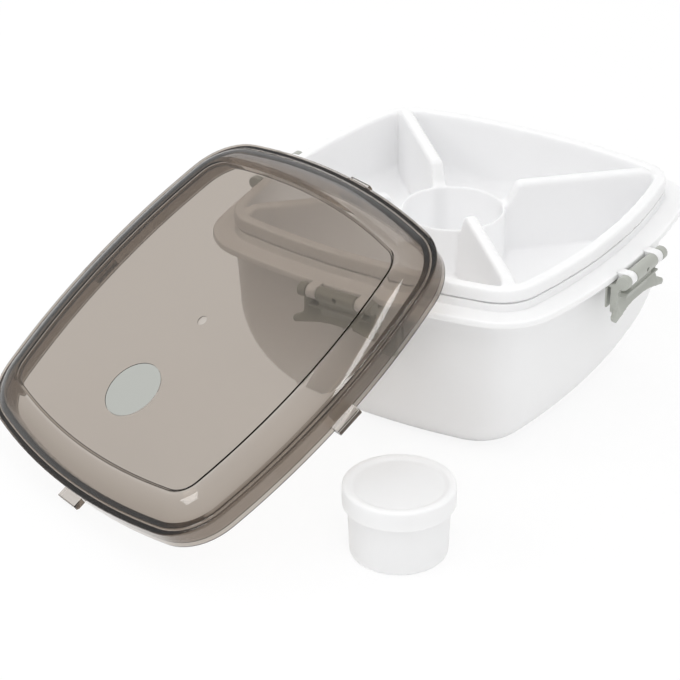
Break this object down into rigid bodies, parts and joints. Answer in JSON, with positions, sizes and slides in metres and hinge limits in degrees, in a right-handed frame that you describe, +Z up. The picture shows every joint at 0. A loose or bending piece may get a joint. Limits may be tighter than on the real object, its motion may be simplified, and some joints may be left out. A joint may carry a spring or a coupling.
{
  "type": "lunch box",
  "caption": "Square clip-lock salad lunch box with a lift-out divider tray, a tinted domed lid leaning on its corner, hinged side clips and a round dressing pot with its own lid.",
  "frame": {"origin": "middle of the box's underside, on the table", "axes": "+Z up out of the open box; -Y the front, where the lid leans and the pot stands; +X to the right"},
  "size_m": [0.2701, 0.3369, 0.1203],
  "materials": {
    "translucent_pp": "satin, translucent white polypropylene",
    "tinted_clear_plastic": "glossy, smoke-tinted clear plastic",
    "pale_plastic": "satin off-white plastic",
    "grey_pp": "satin light grey polypropylene"
  },
  "bodies": {
    "base": {"base_bowl": "translucent_pp"},
    "tray": {"divider_tray": "translucent_pp"},
    "lid_assembly": {"lid": "tinted_clear_plastic", "lid_disc": "pale_plastic"},
    "front_clip": {"clip_front": "grey_pp"},
    "right_clip": {"clip_right": "grey_pp"},
    "back_clip": {"clip_back": "grey_pp"},
    "left_clip": {"clip_left": "grey_pp"},
    "pot": {"dressing_pot": "translucent_pp"},
    "pot_top": {"pot_lid": "translucent_pp"}
  },
  "joints": [
    {"name": "tray_lift", "type": "slide", "parent": "base", "child": "tray", "axis": [0, 0, 1], "range_m": [0, 0.08]},
    {"name": "lid_lift", "type": "slide", "parent": "tray", "child": "lid_assembly", "axis": [0, 0, 1], "range_m": [0, 0.1]},
    {"name": "clip_front_hinge", "type": "hinge", "parent": "base", "child": "front_clip", "pos_m": [0, -0.1044, 0.0845], "axis": [-1, 0, 0], "range_deg": [0, 85]},
    {"name": "clip_right_hinge", "type": "hinge", "parent": "base", "child": "right_clip", "pos_m": [0.1044, 0, 0.0845], "axis": [0, -1, 0], "range_deg": [0, 180]},
    {"name": "clip_back_hinge", "type": "hinge", "parent": "base", "child": "back_clip", "pos_m": [0, 0.1044, 0.0845], "axis": [1, 0, 0], "range_deg": [0, 180]},
    {"name": "clip_left_hinge", "type": "hinge", "parent": "base", "child": "left_clip", "pos_m": [-0.1044, 0, 0.0845], "axis": [0, 1, 0], "range_deg": [0, 180]},
    {"name": "pot_lift", "type": "slide", "parent": "base", "child": "pot", "axis": [0.6, 0, 0.8], "range_m": [0, 0.08]},
    {"name": "pot_lid_lift", "type": "slide", "parent": "pot", "child": "pot_top", "axis": [0, 0, 1], "range_m": [0, 0.02]}
  ]
}
